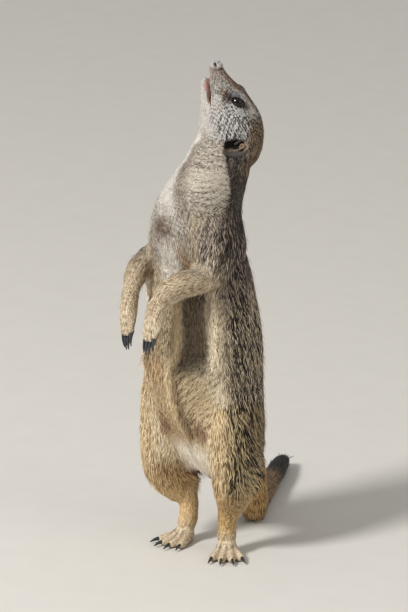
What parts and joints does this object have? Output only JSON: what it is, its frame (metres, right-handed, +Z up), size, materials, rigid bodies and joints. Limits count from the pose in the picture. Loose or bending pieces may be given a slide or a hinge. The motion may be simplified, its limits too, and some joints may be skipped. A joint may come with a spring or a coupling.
{
  "type": "meerkat, still life-size model",
  "caption": "Life-size still meerkat standing upright on its hind feet and tail, forepaws hanging, head thrown back with the mouth slightly open.",
  "frame": {"origin": "middle of the whole animal's bounding box, on the floor it stands on", "axes": "+Z up, the animal faces -Y, +X is its left side"},
  "size_m": [0.132, 0.2312, 0.3482],
  "materials": {
    "grizzled_coat": "short grizzled fur, dark at the root and pale at the tip",
    "pale_coat": "short cream fur of the throat, chest and forearms",
    "warm_coat": "long ochre hair of the shanks over the pale feet",
    "face_coat": "very short silver-grey fur with dark eye patches",
    "dark_coat": "short dark brown fur of the ears and the tail tip",
    "mouth_flesh": "moist pink skin",
    "nose_leather": "bare dark nose skin, slightly moist",
    "claw_horn": "smooth slate-dark horn",
    "eye_glass": "polished dark brown glass eye"
  },
  "bodies": {
    "root": {"trunk": "grizzled_coat", "neck": "pale_coat", "head": "face_coat", "jaw": "pale_coat", "tongue": "mouth_flesh", "nose": "nose_leather", "eye_left": "eye_glass", "eye_right": "eye_glass", "ear_left": "dark_coat", "ear_right": "dark_coat", "upper_arm_left": "grizzled_coat", "forearm_left": "pale_coat", "hand_left": "pale_coat", "claw_hand_left_1": "claw_horn", "claw_hand_left_2": "claw_horn", "claw_hand_left_3": "claw_horn", "claw_hand_left_4": "claw_horn", "upper_arm_right": "grizzled_coat", "forearm_right": "pale_coat", "hand_right": "pale_coat", "claw_hand_right_1": "claw_horn", "claw_hand_right_2": "claw_horn", "claw_hand_right_3": "claw_horn", "claw_hand_right_4": "claw_horn", "thigh_left": "grizzled_coat", "shank_left": "warm_coat", "foot_left": "warm_coat", "claw_foot_left_1": "claw_horn", "claw_foot_left_2": "claw_horn", "claw_foot_left_3": "claw_horn", "claw_foot_left_4": "claw_horn", "thigh_right": "grizzled_coat", "shank_right": "warm_coat", "foot_right": "warm_coat", "claw_foot_right_1": "claw_horn", "claw_foot_right_2": "claw_horn", "claw_foot_right_3": "claw_horn", "claw_foot_right_4": "claw_horn", "tail_base": "grizzled_coat", "tail_middle": "grizzled_coat", "tail_tip": "dark_coat"}
  },
  "joints": []
}
